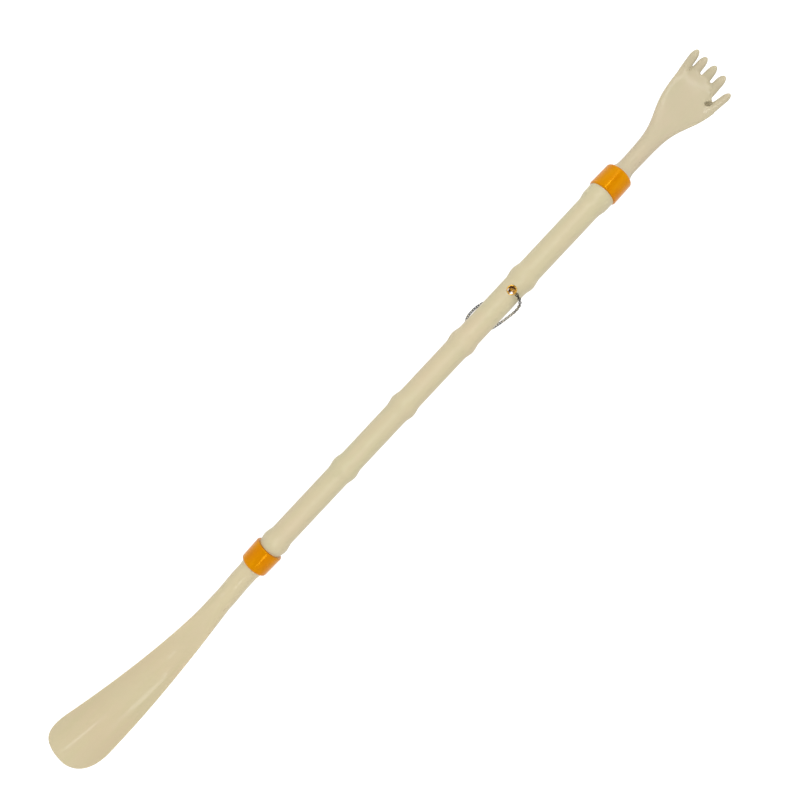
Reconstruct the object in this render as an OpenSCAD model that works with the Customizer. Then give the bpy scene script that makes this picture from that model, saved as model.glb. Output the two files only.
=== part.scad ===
// Back scratcher with a shoehorn on its other end: a moulded bamboo-style handle between two
// orange collars, a small curled hand, a long dished blade, and a chain loop for hanging it up.
// It lies on its back along X, hand towards +X, palm and dish facing up, on the plane z = 0.

/* [Handle] */
// Visible length of the handle between the collars
handle_length = 280; // [220:1:340]
// Diameter of the handle between its bamboo joints
handle_d = 14.5; // [12:0.1:18]
// Diameter of the bore along the handle
handle_bore_d = 9; // [6:0.1:10]
// Distance between the inner bamboo joints
joint_pitch = 50; // [40:1:60]
// Height of a bamboo joint above the handle
joint_rise = 1.05; // [0.4:0.05:1.6]
// Half length of a bamboo joint's swelling
joint_half = 6.5; // [4:0.1:9]
// Distance from a collar to the crest of the end joint beside it
end_joint_inset = 5; // [3:0.1:12]

/* [Collars] */
// Step from the handle's surface out to the collar's
collar_proud = 1.95; // [1.8:0.05:3]
// Length of a collar
collar_length = 14.5; // [10:0.1:20]
// Fall of the collar's radius from the handle's side to the far side
collar_taper = 0.3; // [0:0.05:0.6]
// Radius of the far edge of a collar
collar_round = 1.5; // [0.5:0.05:2]
// Diameter of the handle's turned ends, which the collars fit over
tenon_d = 12.2; // [10.8:0.1:13.4]
// Length of the handle's turned ends
tenon_length = 5; // [3:0.1:8]

/* [Spigots] */
// Length of the spigots of the hand and the blade inside the handle
spigot_depth = 14; // [8:0.5:25]
// Length of the flare from a spigot's shoulder down to the neck
flare_length = 6; // [4:0.1:9]
// Step of that shoulder below the rounding of the collar's far edge
shoulder_step = 0.1; // [0.05:0.05:0.8]

/* [Scratcher hand] */
// Diameter of the wrist
wrist_d = 10.4; // [8:0.1:13]
// Length from the collar to the ends of the palm between the fingers
palm_length = 68.5; // [55:0.5:80]
// Width of the palm across the finger roots
palm_width = 33; // [28:0.5:40]
// Thickness of the palm
palm_thickness = 5; // [3.5:0.1:7]
// Rise of the palm's edges above its hollow
palm_dish = 2.6; // [1:0.1:4]
// Rise of the palm from its lowest place to the finger roots
palm_lift = 4.4; // [2:0.1:7]
// Reach of a finger ahead of its root in the palm
finger_reach = 16.3; // [13:0.1:20]
// Width of a finger
finger_width = 5.1; // [4:0.1:5.6]
// Thickness of a finger at its root
finger_thickness = 4.8; // [3.5:0.1:6]
// Rise of the fingertips through their curl
finger_hook = 6; // [3:0.1:9]
// Reach of the thumb ahead of its root in the palm
thumb_reach = 19.8; // [16:0.1:24]
// Width of the thumb at its root
thumb_width = 6.8; // [5:0.1:8]

/* [Shoehorn blade] */
// Length from the collar to the tip
blade_length = 174.5; // [140:0.5:210]
// Spread of the blade's edge on the little finger's side, as if it ran on to the tip
left_spread = 22.5; // [14:0.5:28]
// Diameter of the neck
neck_d = 13; // [11:0.1:15]
// Lean of the neck to the thumb's side
neck_lean = 0.7; // [0:0.1:1.5]
// Spread of the blade's edge on the thumb's side
right_spread = 7.3; // [3:0.1:9]
// Depth of the dish as a share of half the width there
dish_ratio = 0.48; // [0.3:0.01:0.6]
// Thickness along the middle of the dish
blade_thickness = 3; // [2:0.1:4.5]
// Length of the round end
round_end = 31.7; // [22:0.1:40]
// Distance of the tip from the handle's axis, on the little finger's side
tip_offset = 5.1; // [0:0.1:9]

/* [Eyelets] */
// Distance from the second bamboo joint to the eyelets
eyelet_inset = 10; // [9.5:0.1:14]
// Diameter of an eyelet's bore
eyelet_bore_d = 4.6; // [4.4:0.1:5.2]
// Wall of an eyelet's barrel
eyelet_wall = 0.35; // [0.25:0.05:0.6]
// Diameter of an eyelet's flange
flange_d = 5.8; // [5.7:0.1:7.2]
// Thickness of an eyelet's flange
flange_t = 0.4; // [0.3:0.05:0.7]

/* [Chain] */
// Diameter of the links' wire
wire_d = 0.46; // [0.4:0.01:0.5]
// Outside length of a link
link_length = 2.55; // [2.5:0.01:2.7]
// Outside width of a link
link_width = 1.95; // [1.9:0.01:2.05]
// Distance from link to link
link_pitch = 1.5; // [1.46:0.01:1.54]
// Slit in the joining link
slit = 0.1; // [0.05:0.01:0.2]

/* [Fits] */
// Radial clearance of spigots, tenons and eyelets
fit_gap = 0.05; // [0.02:0.01:0.12]
// Clearance at the bottom of a socket
end_gap = 0.3; // [0.1:0.05:0.6]
// Clearance between the chain and what it lies on or under
chain_gap = 0.08; // [0.05:0.01:0.15]

/* [Hidden] */
chain_runs = 17;

cream = [0.85, 0.79, 0.65];
orange = [0.87, 0.52, 0.02];
brass = [0.78, 0.62, 0.25];
nickel = [0.72, 0.72, 0.70];
$fn = 64;

// Heights: the part lies on its collars, unless the chain under the handle needs more room
handle_r = handle_d / 2;
collar_r = handle_r + collar_proud;
chain_height = (link_width - wire_d) * sin(45) + wire_d;
axis_z = max(collar_r, handle_r + chain_height + 5 * chain_gap);

// Lengths along the handle's axis, measured from the handle's middle
collar_x = handle_length / 2;
socket_x = collar_x + collar_length;
joint_xs = concat(
    [-collar_x + end_joint_inset],
    [for (i = [-1.5:1:1.5]) i * joint_pitch],
    [collar_x - end_joint_inset]
);
eyelet_x = 1.5 * joint_pitch - eyelet_inset;

// Fingers, from the little one: shares of the palm's width for their roots, leans, and shares of the reach
finger_root = 11.5;
finger_start = palm_length - finger_root;
finger_places = [0.382, 0.242, 0.034, -0.165];
finger_leans = [9.5, 3.9, 3.3, 0.7];
finger_shares = [1, 1, 1, 0.97];
hand_reach = socket_x + finger_start + finger_reach;

// Thumb: its root in the palm, its lean and its height above the palm's sheet
thumb_root = 18.5;
thumb_start = palm_length - thumb_root;
thumb_y = -0.31 * palm_width;
thumb_lean = -11.5;
thumb_raise = 0.5;
thumb_taper = 0.6;

// Blade: where its edges begin to spread and where its round end begins
left_spread_from = 40;
right_spread_from = 29;
round_from = blade_length - round_end;
blade_reach = socket_x + blade_length;

// The origin is under the middle of the part's length and width
blade_left = max([for (b = [round_from:blade_length]) mix(tip_offset, left_edge(b), rounding(b))]);
handle_at = [(blade_reach - hand_reach) / 2, (palm_width / 2 - blade_left) / 2, axis_z];

// Facets: points round a section, and sections along the blade, the palm and a finger
around = 28;
around_finger = 14;
blade_rings = 44;
palm_rings = 26;
finger_rings = 9;

function clamp01(t) = min(max(t, 0), 1);
function ease(t) = let (c = clamp01(t)) c * c * (3 - 2 * c);
function mix(a, b, t) = a + (b - a) * t;

// Puts a piece that is modelled about the handle's middle in its place
module placed() {
    translate(handle_at) children();
}

// Turns a profile of [radius, length] points about the X axis
module turned(profile) {
    rotate([0, 90, 0]) rotate_extrude() polygon(profile);
}

// Skin over rings of points that run from -Y round the top, with a strip of faces as each end cap
module loft(rings) {
    n = len(rings[0]);
    m = len(rings);
    half = n / 2;
    points = [for (ring = rings) each ring];
    sides = [for (j = [0:m - 2], k = [0:n - 1])
        let (a = j * n + k, b = j * n + (k + 1) % n)
        each [[a, b, b + n], [a, b + n, a + n]]];
    caps = [for (end = [0, 1], k = [0:half - 1])
        let (
            o = end * (m - 1) * n,
            quad = [o + k, o + k + 1, o + n - k - 1, o + (n - k) % n],
            flat = k == 0 ? [[quad[0], quad[1], quad[2]]]
                : k == half - 1 ? [[quad[0], quad[1], quad[3]]]
                : [[quad[0], quad[1], quad[2]], [quad[0], quad[2], quad[3]]]
        )
        each [for (f = flat) end == 0 ? [f[2], f[1], f[0]] : f]];
    polyhedron(points, concat(sides, caps));
}

// One ring of a dished section across X: half width, middle, the dish's lowest line and its bend
function dished_ring(x, y_mid, half_width, y_low, z_low, bend, half_thick) =
    [for (k = [0:around - 1])
        let (a = 180 - 360 * k / around, y = y_mid + half_width * cos(a))
        [x, y, z_low + bend * pow(y - y_low, 2) + half_thick * sin(a)]];

// Spigot, shoulder, flare and the start of a neck, turned as one, from the collar's far face at x = 0
function spigot_profile(neck_r) =
    let (
        spigot_r = handle_bore_d / 2 - fit_gap,
        shoulder_r = collar_r - collar_taper - collar_round - shoulder_step,
        back = collar_length + spigot_depth,
        lead = 0.8
    )
    concat(
        [[0, -back], [spigot_r - lead, -back], [spigot_r, -back + lead], [spigot_r, 0]],
        [for (k = [0:8])
            let (v = k / 8)
            [neck_r + (shoulder_r - neck_r) * pow(1 - v, 2.2), flare_length * v]],
        [[neck_r, flare_length + 4], [0, flare_length + 4]]
    );

// Distance from the collar at which a neck's skin takes over from its turned start
neck_skin_from = flare_length + 3;
function skin_r(neck_r) = neck_r / cos(180 / around) + 0.03;

// Radius of the handle with its bamboo joints: the one beside the hand runs on into its collar
function swelling(d) = abs(d) < joint_half ? joint_rise * (1 + cos(180 * d / joint_half)) / 2 : 0;
function joint_distance(x) = min([for (c = joint_xs) abs(x - c)]);
function handle_radius(x) = handle_r + swelling(x > collar_x - end_joint_inset ? 0 : joint_distance(x));

module bamboo_handle() {
    steps = 6;
    inside = [for (c = joint_xs, k = [-steps:steps])
        let (x = c + joint_half * k / steps)
        if (x > 0.2 - collar_x && x <= collar_x - end_joint_inset) x];
    xs = concat([-collar_x], inside, [collar_x]);
    tenon_end = collar_x + tenon_length;
    profile = concat(
        [[handle_bore_d / 2, -tenon_end], [tenon_d / 2, -tenon_end], [tenon_d / 2, -collar_x]],
        [for (x = xs) [handle_radius(x), x]],
        [[tenon_d / 2, collar_x], [tenon_d / 2, tenon_end], [handle_bore_d / 2, tenon_end]]
    );
    color(cream) placed() difference() {
        turned(profile);
        translate([eyelet_x, 0, -handle_d]) cylinder(d = barrel_d + 2 * fit_gap, h = 2 * handle_d);
        for (turn = [0, 180]) rotate([turn, 0, 0])
            translate([eyelet_x, 0, seat_z]) cylinder(d = flange_d + 4 * fit_gap, h = handle_d);
    }
}

// A collar from its handle side at x = 0, with a counterbore for the tenon and a bore for the spigot
module collar() {
    far_r = collar_r - collar_taper;
    counterbore = tenon_length + end_gap;
    edge = 0.5;
    arc = [for (k = [0:6]) 90 * k / 6];
    turned(concat(
        [[tenon_d / 2 + fit_gap, 0]],
        [for (a = arc) [collar_r - edge * (1 - sin(a)), edge * (1 - cos(a))]],
        [for (a = arc)
            [far_r - collar_round * (1 - cos(a)), collar_length - collar_round * (1 - sin(a))]],
        [[handle_bore_d / 2, collar_length], [handle_bore_d / 2, counterbore]],
        [[tenon_d / 2 + fit_gap, counterbore]]
    ));
}

module hand_collar() {
    color(orange) placed() translate([collar_x, 0, 0]) collar();
}

module blade_collar() {
    color(orange) placed() rotate([0, 0, 180]) translate([collar_x, 0, 0]) collar();
}

// Shapes of the palm at the distance u from the collar, with places given as shares of its length
function palm_share(u, from, to) = ease((u / palm_length - from) / (to - from));
function palm_spread(u, middle) =
    let (
        v = u / palm_length,
        s_curve = 1 / (1 + exp(-12 * (v - middle)))
    )
    mix(s_curve, pow(v, 4), 0.12);
function palm_left(u) = mix(wrist_d / 2, palm_width / 2, palm_spread(u, 0.57));
function palm_right(u) =
    let (
        full = mix(wrist_d / 2, palm_width / 2, palm_spread(u, 0.65)),
        beside_thumb = finger_width / 2 - palm_width * finger_places[3]
    )
    mix(full, beside_thumb, palm_share(u, 0.857, 0.941));
function palm_bend(u) =
    palm_dish / pow(palm_width / 2, 2) * palm_share(u, 0.38, 0.7) * mix(1, 0.35, palm_share(u, 0.76, 0.98));
function palm_half(u) = mix(skin_r(wrist_d / 2), palm_thickness / 2, palm_share(u, 0.2, 0.7));

// The sheet that palm, fingers and thumb lie on: it sags, rises to the finger roots and curls up
palm_sag = 1.6;
rise_from = 0.615;
function palm_low(u) =
    -palm_sag * palm_share(u, 0.2, 0.65)
    + palm_lift * pow(max((u / palm_length - rise_from) / (1 - rise_from), 0), 2)
    + finger_hook * pow(max(u - finger_start, 0) / finger_reach, 3);
function palm_middle(u) = let (v = min(u, palm_length)) (palm_left(v) - palm_right(v)) / 2;
function sheet(u, y) = palm_low(u) + palm_bend(u) * pow(y - palm_middle(u), 2);

// The palm's end between the fingers: round in thickness, with rounder corners in width
palm_end = 2.2;
palm_corner = 6;
function rounded(u, length) = sqrt(max(1 - pow(clamp01((u - palm_length + length) / (length + 0.1)), 2), 0));

// A finger or thumb: an oval that grows out of the sheet and is carried along it to a round tip
module finger(start, root_y, lean, reach, width, taper = 1, tip_from = 0.82, raise = 0) {
    ahead = [cos(lean), sin(lean), 0];
    side = [-sin(lean), cos(lean), 0];
    root_share = 0.5;
    grown = 0.4;
    tip_thick = 0.74;
    blunt = 1.004;
    step = 0.05;
    function height(run) =
        sheet(start + run * ahead[0], root_y + run * ahead[1]) + raise * ease(run / reach / grown);
    rings = [for (j = [0:finger_rings])
        let (
            s = sin(90 * j / finger_rings),
            run = reach * s,
            slope = atan((height(run + step) - height(run - step)) / (2 * step)),
            up = [-sin(slope) * ahead[0], -sin(slope) * ahead[1], cos(slope)],
            cap = s < tip_from ? 1 : sqrt(max(1 - pow((s - tip_from) / (blunt - tip_from), 2), 0)),
            size = cap * mix(root_share, 1, ease(s / grown)) / 2,
            a = width * mix(1, taper, s) * size,
            b = finger_thickness * mix(1, tip_thick, s) * size,
            middle = [start, root_y, height(run)] + ahead * run
        )
        [for (k = [0:around_finger - 1])
            let (t = 180 - 360 * k / around_finger)
            middle + side * (a * cos(t)) + up * (b * sin(t))]];
    loft(rings);
}

module scratcher_hand() {
    skin = skin_r(wrist_d / 2) - wrist_d / 2;
    us = [for (j = [0:palm_rings]) mix(neck_skin_from, palm_length, sin(90 * j / palm_rings))];
    color(cream) placed() translate([socket_x, 0, 0]) {
        turned(spigot_profile(wrist_d / 2));
        loft([for (u = us)
            let (
                corner = palm_corner * (1 - rounded(u, palm_corner)) / 2,
                left = palm_left(u) + skin - corner,
                right = palm_right(u) + skin - corner / 2,
                y_mid = (left - right) / 2,
                half_thick = palm_half(u) * rounded(u, palm_end)
            )
            dished_ring(
                u, y_mid, (left + right) / 2, palm_middle(u), palm_low(u), palm_bend(u), half_thick
            )]);
        for (i = [0:3])
            finger(
                finger_start, palm_width * finger_places[i], finger_leans[i], finger_reach * finger_shares[i],
                finger_width
            );
        finger(thumb_start, thumb_y, thumb_lean, thumb_reach, thumb_width, thumb_taper, 0.87, thumb_raise);
    }
}

// Shapes of the blade at the distance b from the collar, before its end is rounded
function blade_share(b, from, to) = ease((b / blade_length - from) / (to - from));
function blade_lean(b) = neck_lean * blade_share(b, 0.05, 0.155);
right_full = round_from - 6.4;
function left_edge(b) =
    neck_d / 2 - blade_lean(b)
    + left_spread * pow(clamp01((b - left_spread_from) / (blade_length - left_spread_from)), 1.56);
function right_edge(b) =
    let (v = clamp01((b - right_spread_from) / (right_full - right_spread_from)))
    neck_d / 2 + blade_lean(b) + (right_spread - neck_lean) * sin(90 * v);
function rounding(b) = sqrt(max(1 - pow(clamp01((b - round_from) / round_end), 2), 0));
function blade_half(b) = mix(skin_r(neck_d / 2), blade_thickness / 2, blade_share(b, 0.09, 0.42));
function blade_low(b) = mix(0, blade_half(b) - axis_z, blade_share(b, 0.08, 0.52));
function blade_bend(b) = 2 * dish_ratio * blade_share(b, 0.14, 0.49) / (left_edge(b) + right_edge(b));

// Shares of the blade's length at which its sections lie, closer together towards the round end
spread_rings = 0.55;
spread_length = 0.748;
function ring_share(v) =
    v < spread_rings ? v * spread_length / spread_rings
    : mix(spread_length, 1, sin(90 * (v - spread_rings) / (1 - spread_rings)));

module shoehorn_blade() {
    skin = skin_r(neck_d / 2) - neck_d / 2;
    last = blade_length * 0.9985;
    bs = [for (j = [0:blade_rings]) mix(neck_skin_from, last, ring_share(j / blade_rings))];
    color(cream) placed() rotate([0, 0, 180]) translate([socket_x, 0, 0]) {
        turned(spigot_profile(neck_d / 2));
        loft([for (b = bs)
            let (
                left = mix(tip_offset, left_edge(b) + skin, rounding(b)),
                right = mix(-tip_offset, right_edge(b) + skin, rounding(b)),
                y_low = (right_edge(b) - left_edge(b)) / 2
            )
            dished_ring(
                b, (right - left) / 2, (left + right) / 2, y_low, blade_low(b), blade_bend(b), blade_half(b)
            )]);
    }
}

// Eyelets: a flat seat cut across the handle, just wide enough for the flange, and barrels that all but
// meet in the handle's bore
barrel_d = eyelet_bore_d + 2 * eyelet_wall;
seat_z = sqrt(pow(handle_r, 2) - pow(flange_d / 2 + 2 * fit_gap, 2));
barrel_end = fit_gap;

// A flanged barrel with a rounded mouth, turned about Z
module eyelet() {
    top = seat_z + flange_t;
    mouth = 0.3;
    rotate_extrude() polygon(concat(
        [[barrel_d / 2, barrel_end], [barrel_d / 2, seat_z], [flange_d / 2, seat_z]],
        [[flange_d / 2, top - flange_t / 2], [flange_d / 2 - flange_t / 2, top]],
        [for (k = [0:4])
            let (a = 90 - 90 * k / 4)
            [eyelet_bore_d / 2 + mouth * (1 - cos(90 - a)), top - mouth * (1 - sin(a))]],
        [[eyelet_bore_d / 2, barrel_end]]
    ));
}

module front_eyelet() {
    color(brass) placed() translate([eyelet_x, 0, 0]) eyelet();
}

module rear_eyelet() {
    color(brass) placed() translate([eyelet_x, 0, 0]) rotate([180, 0, 0]) eyelet();
}

// The chain's route: up through both eyelets, over the thumb's side, back along the handle,
// across underneath it and back to the rear eyelet, measured from the eyelets' axis
low = chain_height / 2 + chain_gap - axis_z;
behind_joint = 2.9;
reach = joint_pitch - eyelet_inset - joint_half - behind_joint;
over = handle_r + 2.05;
beside = handle_r + 2.75;
route = [
    [0.6, 0.5, -3],
    [0.3, 0.6, 0],
    [0, 0.7, 3],
    [0, 0.9, handle_r - 1],
    [-0.1, -0.1, over - 0.3],
    [-0.3, -3, over],
    [-0.6, -5.8, over - 1.3],
    [-1.4, 1.8 - beside, over - 3.7],
    [-3, 0.4 - beside, over - 6.7],
    [-5.6, -beside, mix(low, over, 0.44)],
    [-8.6, 0.3 - beside, mix(low, over, 0.27)],
    [-11.8, 0.8 - beside, mix(low, over, 0.12)],
    [-0.5 * reach, 1.4 - beside, low + 0.36],
    [-0.61 * reach, 2.1 - beside, low],
    [-0.73 * reach, 3.1 - beside, low],
    [-0.84 * reach, 5 - beside, low],
    [-0.93 * reach, -2.4, low],
    [-0.99 * reach, 0.8, low],
    [-reach, 4.2, low],
    [-0.955 * reach, handle_r - 0.2, low],
    [-0.855 * reach, handle_r + 1.1, low],
    [-0.74 * reach, handle_r + 1.2, low],
    [-0.62 * reach, handle_r + 1, low],
    [-0.5 * reach, handle_r + 0.1, low],
    [-0.39 * reach, 5.8, low],
    [-0.29 * reach, 3.8, low],
    [-5.6, 2, low],
    [-2.4, 0.8, low - 0.1],
    [0.4, 0.2, low + 0.3],
    [1.2, 0.2, low + 2.6]
];

// A closed cubic B-spline through the route, and the distance run along it
function spline_point(i, u) =
    let (
        n = len(route),
        a = route[i],
        b = route[(i + 1) % n],
        c = route[(i + 2) % n],
        d = route[(i + 3) % n]
    )
    (a * pow(1 - u, 3) + b * (3 * pow(u, 3) - 6 * u * u + 4)
        + c * (3 * u + 3 * u * u - 3 * pow(u, 3) + 1) + d * pow(u, 3)) / 6;
per_span = 16;
trail = [for (i = [0:len(route) - 1], k = [0:per_span - 1]) spline_point(i, k / per_span)];
trail_n = len(trail);
function stride(i) = norm(trail[(i + 1) % trail_n] - trail[i % trail_n]);
runs_to = [for (i = 0, s = 0; i <= trail_n; s = s + stride(i), i = i + 1) s];
function along(axis) = [for (i = [0:trail_n]) [runs_to[i], trail[i % trail_n][axis]]];
along_x = along(0);
along_y = along(1);
along_z = along(2);

// Links: an even number that fills the route, each from one point of it to the next
link_count = 2 * round(runs_to[trail_n] / link_pitch / 2);
knots = [for (i = [0:link_count])
    let (s = runs_to[trail_n] * i / link_count)
    [lookup(s, along_x), lookup(s, along_y), lookup(s, along_z)]];
function unit(v) = v / norm(v);
function heading(i) = unit(knots[i % link_count + 1] - knots[i % link_count]);

// A side vector carried from link to link with no twist, turned only as the heading turns
function carried(v, from, to) =
    let (axis = cross(from, to), c = from * to)
    unit(v * c + cross(axis, v) + axis * (axis * v) / (1 + c));
sides = [for (i = 0, v = unit(cross(heading(0), [0, 1, 0])); i <= link_count;
    v = carried(v, heading(i), heading(i + 1)), i = i + 1) v];

// The twist that closes the loop is shared by all links, and links on the ground lean by 45 degrees
loop_turn = atan2(cross(sides[0], sides[link_count]) * heading(0), sides[0] * sides[link_count]);
quarter_turns = round((loop_turn + 90 * link_count) / 180) * 180;
link_turn = 90 + (quarter_turns - loop_turn - 90 * link_count) / link_count;
grounded = round(link_count * 0.65);
ground_roll = atan2(cross(heading(grounded), sides[grounded])[2], sides[grounded][2]);
first_roll = ground_roll + 45 - link_turn * grounded;

// A link: two half rings and two straights, its length along Y
module link() {
    bow_r = (link_width - wire_d) / 2;
    straight = link_length - link_width;
    for (turn = [0, 180]) rotate([0, 0, turn]) {
        translate([0, straight / 2, 0]) rotate_extrude(angle = 180) translate([bow_r, 0]) circle(d = wire_d);
        translate([bow_r, straight / 2, 0]) rotate([90, 0, 0]) cylinder(d = wire_d, h = straight);
    }
}

// Puts a link between two knots of the route, rolled into its place in the chain
module linked(i) {
    y = heading(i);
    roll = first_roll + link_turn * i;
    x = sides[i] * cos(roll) + cross(y, sides[i]) * sin(roll);
    z = cross(x, y);
    at = (knots[i] + knots[i + 1]) / 2;
    placed() translate([eyelet_x, 0, 0]) multmatrix([
        [x[0], y[0], z[0], at[0]],
        [x[1], y[1], z[1], at[1]],
        [x[2], y[2], z[2], at[2]],
        [0, 0, 0, 1]
    ]) children();
}

// The joining link lies at the far end of the loop, and the runs share the other links evenly
joining_index = round(link_count * 0.56);
function run_start(r) = joining_index + 1 + floor((link_count - 1) * r / chain_runs);

module chain_run(r) {
    color(nickel) for (i = [run_start(r):run_start(r + 1) - 1]) linked(i % link_count) link();
}

module joining_link() {
    color(nickel) linked(joining_index) difference() {
        link();
        translate([link_width / 2 - wire_d, -slit / 2, -wire_d]) cube([2 * wire_d, slit, 2 * wire_d]);
    }
}

scratcher_hand();
hand_collar();
bamboo_handle();
blade_collar();
shoehorn_blade();
front_eyelet();
rear_eyelet();
joining_link();
for (r = [1:chain_runs]) chain_run(r - 1);
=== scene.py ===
"""Looks of a back scratcher: an ivory hand, a bamboo-style handle and a shoehorn blade, orange
collars, brass eyelets and a nickel chain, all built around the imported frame."""

import logging
import math
from dataclasses import dataclass
from enum import Enum
from typing import Any

import bpy
import numpy as np
from mathutils import Matrix, Vector


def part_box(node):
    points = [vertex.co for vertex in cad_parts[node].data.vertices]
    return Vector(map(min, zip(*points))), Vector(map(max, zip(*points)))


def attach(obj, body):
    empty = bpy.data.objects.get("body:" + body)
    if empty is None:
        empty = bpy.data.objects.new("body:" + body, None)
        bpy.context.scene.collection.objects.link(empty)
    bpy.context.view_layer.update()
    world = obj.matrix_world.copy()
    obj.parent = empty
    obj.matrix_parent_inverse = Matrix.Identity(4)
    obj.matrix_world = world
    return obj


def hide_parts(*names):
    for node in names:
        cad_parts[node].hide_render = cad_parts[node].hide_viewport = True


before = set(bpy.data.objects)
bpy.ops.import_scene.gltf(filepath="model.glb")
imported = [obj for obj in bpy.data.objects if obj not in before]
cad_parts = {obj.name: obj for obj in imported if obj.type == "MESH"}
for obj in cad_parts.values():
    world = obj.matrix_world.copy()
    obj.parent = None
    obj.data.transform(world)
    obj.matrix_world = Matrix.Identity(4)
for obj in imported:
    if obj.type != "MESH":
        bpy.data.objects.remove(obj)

logging.basicConfig(level=logging.INFO, format="%(message)s")
LOG = logging.getLogger("back_scratcher")

Array = np.ndarray
Object = bpy.types.Object
Material = bpy.types.Material
Tree = bpy.types.NodeTree
Pair = tuple[float, float]
MM = 0.001
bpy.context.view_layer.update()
BODY = "scratcher"  # the body of every piece that is built here; the chain's links have their own


class Slot(str, Enum):
    """The record's material slots."""

    IVORY = "ivory_plastic"
    ORANGE = "orange_plastic"
    BRASS = "eyelet_brass"
    NICKEL = "chain_nickel"


HANDLE_AT = np.mean(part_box("bamboo_handle"), axis=0) / MM  # its middle in the part's frame
EYELET_X = 65.0  # place of the eyelets along the handle, from its middle


# Shapes: every length here is in millimetres, measured from the handle's middle

SHARP_DEG = 40.0  # edges that turn by more than this stay sharp, unless a piece has its own angle
NEVER_ZERO = 1e-6


def ease(t: Array | float) -> Array:
    """Smooth step: 3t squared minus 2t cubed, held at 0 and 1 outside that span."""
    c = np.clip(t, 0.0, 1.0)
    return c * c * (3 - 2 * c)


def step(value: Array, span: Pair) -> Array:
    """Smooth step from 0 where a span begins to 1 where it ends."""
    return ease((value - span[0]) / (span[1] - span[0]))


def mix(a: Any, b: Any, t: Any) -> Any:
    """Straight blend from a at 0 to b at 1."""
    return a + (b - a) * t


def rounded_end(distance: Array, length: float) -> Array:
    """Quarter ellipse: 1 up to a distance of 0, falling to 0 at a distance of that length."""
    return np.sqrt(np.clip(1 - np.clip(distance / length, 0, 1) ** 2, 0, 1))


@dataclass
class Shell:
    """A surface as points with four-sided and three-sided faces, in millimetres."""

    points: Array
    quads: Array
    tris: Array

    @staticmethod
    def of_grid(grid: Array, closed_rows: bool = False) -> "Shell":
        """Skin of a grid of points that is closed round its second index.

        Args:
            grid: points as rows, columns and three coordinates.
            closed_rows: whether the last row joins the first; if not, each end is closed by a fan.

        Returns:
            The skin, with its faces turned outwards.
        """
        rows, cols = grid.shape[:2]
        last = rows if closed_rows else rows - 1
        j, k = np.meshgrid(np.arange(last), np.arange(cols), indexing="ij")
        near, far, turn = j * cols, (j + 1) % rows * cols, (k + 1) % cols
        quads = np.stack([near + k, far + k, far + turn, near + turn], axis=-1).reshape(-1, 4)
        points = grid.reshape(-1, 3)
        if closed_rows:
            return Shell(points, quads, np.empty((0, 3), int)).outward()
        ring, base, tip = np.arange(cols), (rows - 1) * cols, np.full(cols, rows * cols)
        after = np.roll(ring, -1)
        near_fan, far_fan = (ring, after, tip), (base + after, base + ring, tip + 1)
        points = np.vstack([points, grid[0].mean(0), grid[-1].mean(0)])
        return Shell(points, quads, np.hstack([near_fan, far_fan]).T).outward()

    def outward(self) -> "Shell":
        """Faces turned outwards, so that the triangles' triple products add up to more than 0.

        Returns:
            This shell, or one with its faces the other way round.
        """
        fans = np.vstack([self.tris, self.quads[:, [0, 1, 2]], self.quads[:, [0, 2, 3]]])
        a, b, c = (self.points[fans[:, i]] for i in range(3))
        outwards = np.einsum("ij,ij->i", a, np.cross(b, c)).sum() > 0
        return self if outwards else Shell(self.points, self.quads[:, ::-1], self.tris[:, ::-1])

    def moved(self, points: Array) -> "Shell":
        """The same faces on other points, turned outwards."""
        return Shell(points, self.quads, self.tris).outward()

    def plus(self, *others: "Shell") -> "Shell":
        """This shell and others side by side in one.

        Args:
            others: the shells that are put beside this one.

        Returns:
            One shell with the points and faces of all.
        """
        shells = (self, *others)
        starts = np.cumsum([0, *(len(s.points) for s in shells[:-1])])
        return Shell(
            np.vstack([s.points for s in shells]),
            np.vstack([s.quads + n for s, n in zip(shells, starts)]),
            np.vstack([s.tris + n for s, n in zip(shells, starts)]))

    def to_object(self, name: str, sharp_deg: float = SHARP_DEG) -> Object:
        """Object at the origin with this surface in the part's frame, in metres.

        Args:
            name: the object's name.
            sharp_deg: edges that turn by more than this stay sharp.

        Returns:
            The new object, linked to the scene.
        """
        mesh = bpy.data.meshes.new(name)
        faces = self.quads.tolist() + self.tris.tolist()
        mesh.from_pydata(((self.points + HANDLE_AT) * MM).tolist(), [], faces)
        mesh.validate()
        shade(mesh, sharp_deg)
        made = bpy.data.objects.new(name, mesh)
        bpy.context.scene.collection.objects.link(made)
        return made


def shade(mesh: bpy.types.Mesh, sharp_deg: float) -> None:
    """Gives a mesh smooth shading and keeps its sharp edges.

    Args:
        mesh: the mesh.
        sharp_deg: edges that turn by more than this stay sharp.
    """
    mesh.polygons.foreach_set("use_smooth", np.ones(len(mesh.polygons), bool))
    mesh.set_sharp_from_angle(angle=math.radians(sharp_deg))
    mesh.update()


def turned(profile: Array, cols: int, closed: bool = True) -> Shell:
    """Profile of [length, radius] points turned about the X axis.

    Args:
        profile: the points in order.
        cols: points round the axis.
        closed: whether the profile is a loop, as the section of a tube is.

    Returns:
        The turned skin.
    """
    angle = np.linspace(0, 2 * np.pi, cols, endpoint=False)
    x, r = profile[:, :1], profile[:, 1:]
    grid = np.stack(np.broadcast_arrays(x, r * np.cos(angle), r * np.sin(angle)), axis=-1)
    return Shell.of_grid(grid, closed_rows=closed)


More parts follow.
